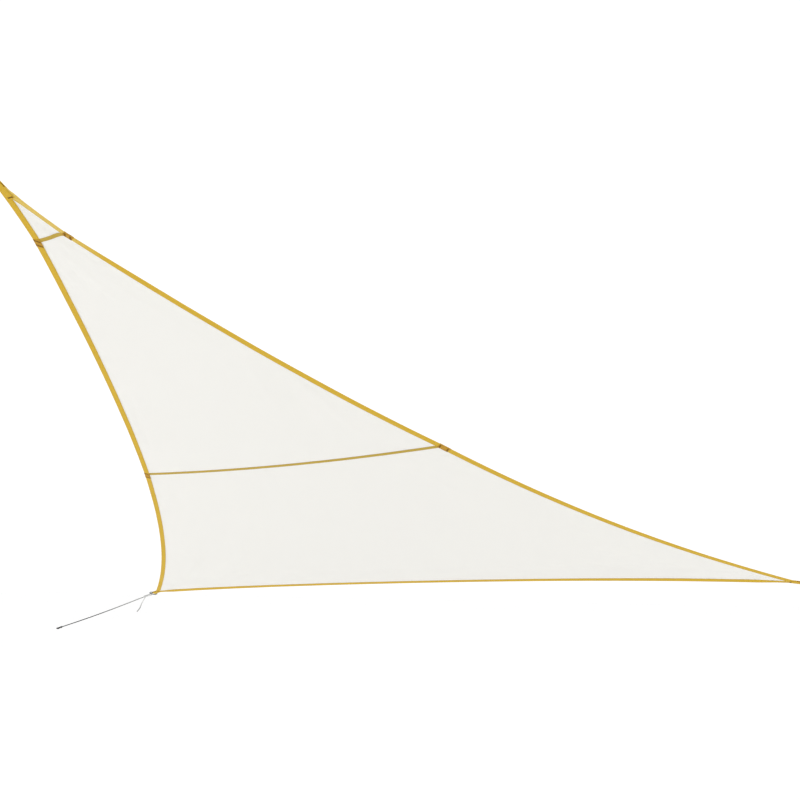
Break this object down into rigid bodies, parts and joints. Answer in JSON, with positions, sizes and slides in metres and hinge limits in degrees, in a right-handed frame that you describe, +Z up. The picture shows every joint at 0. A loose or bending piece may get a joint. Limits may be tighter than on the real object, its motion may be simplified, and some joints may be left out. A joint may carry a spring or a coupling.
{
  "type": "shade sail",
  "caption": "Triangular cloth shade sail with concave webbing-bound edges, seam tapes, corner D rings and one taut guy cord.",
  "frame": {"origin": "middle of the wire at the outer side of the top corner's ring, where the sail hangs", "axes": "+Z up, +X from the left low corner to the right low corner, +Y away from the top corner towards the low edge"},
  "size_m": [5.1266, 3.6139, 1.5197],
  "materials": {
    "cloth": "matt plain weave, a little see-through",
    "webbing": "ribbed polyester webbing",
    "steel": "brushed",
    "cord": "braided polyester"
  },
  "bodies": {
    "root": {"panel_tip": "cloth", "panel_middle": "cloth", "panel_base": "cloth", "band_left_tip": "webbing", "band_left_middle": "webbing", "band_left_base": "webbing", "band_upper_tip": "webbing", "band_upper_middle": "webbing", "band_upper_base": "webbing", "band_lower": "webbing", "seam_tape_tip": "webbing", "seam_tape_main": "webbing", "loop_top": "webbing", "loop_left": "webbing", "loop_right": "webbing", "ring_top": "steel", "ring_left": "steel", "ring_right": "steel", "cord_eye": "cord", "cord_knot": "cord", "cord_line": "cord", "cord_tail": "cord", "cord_end_knot": "cord", "cord_end_loop": "cord"}
  },
  "joints": []
}
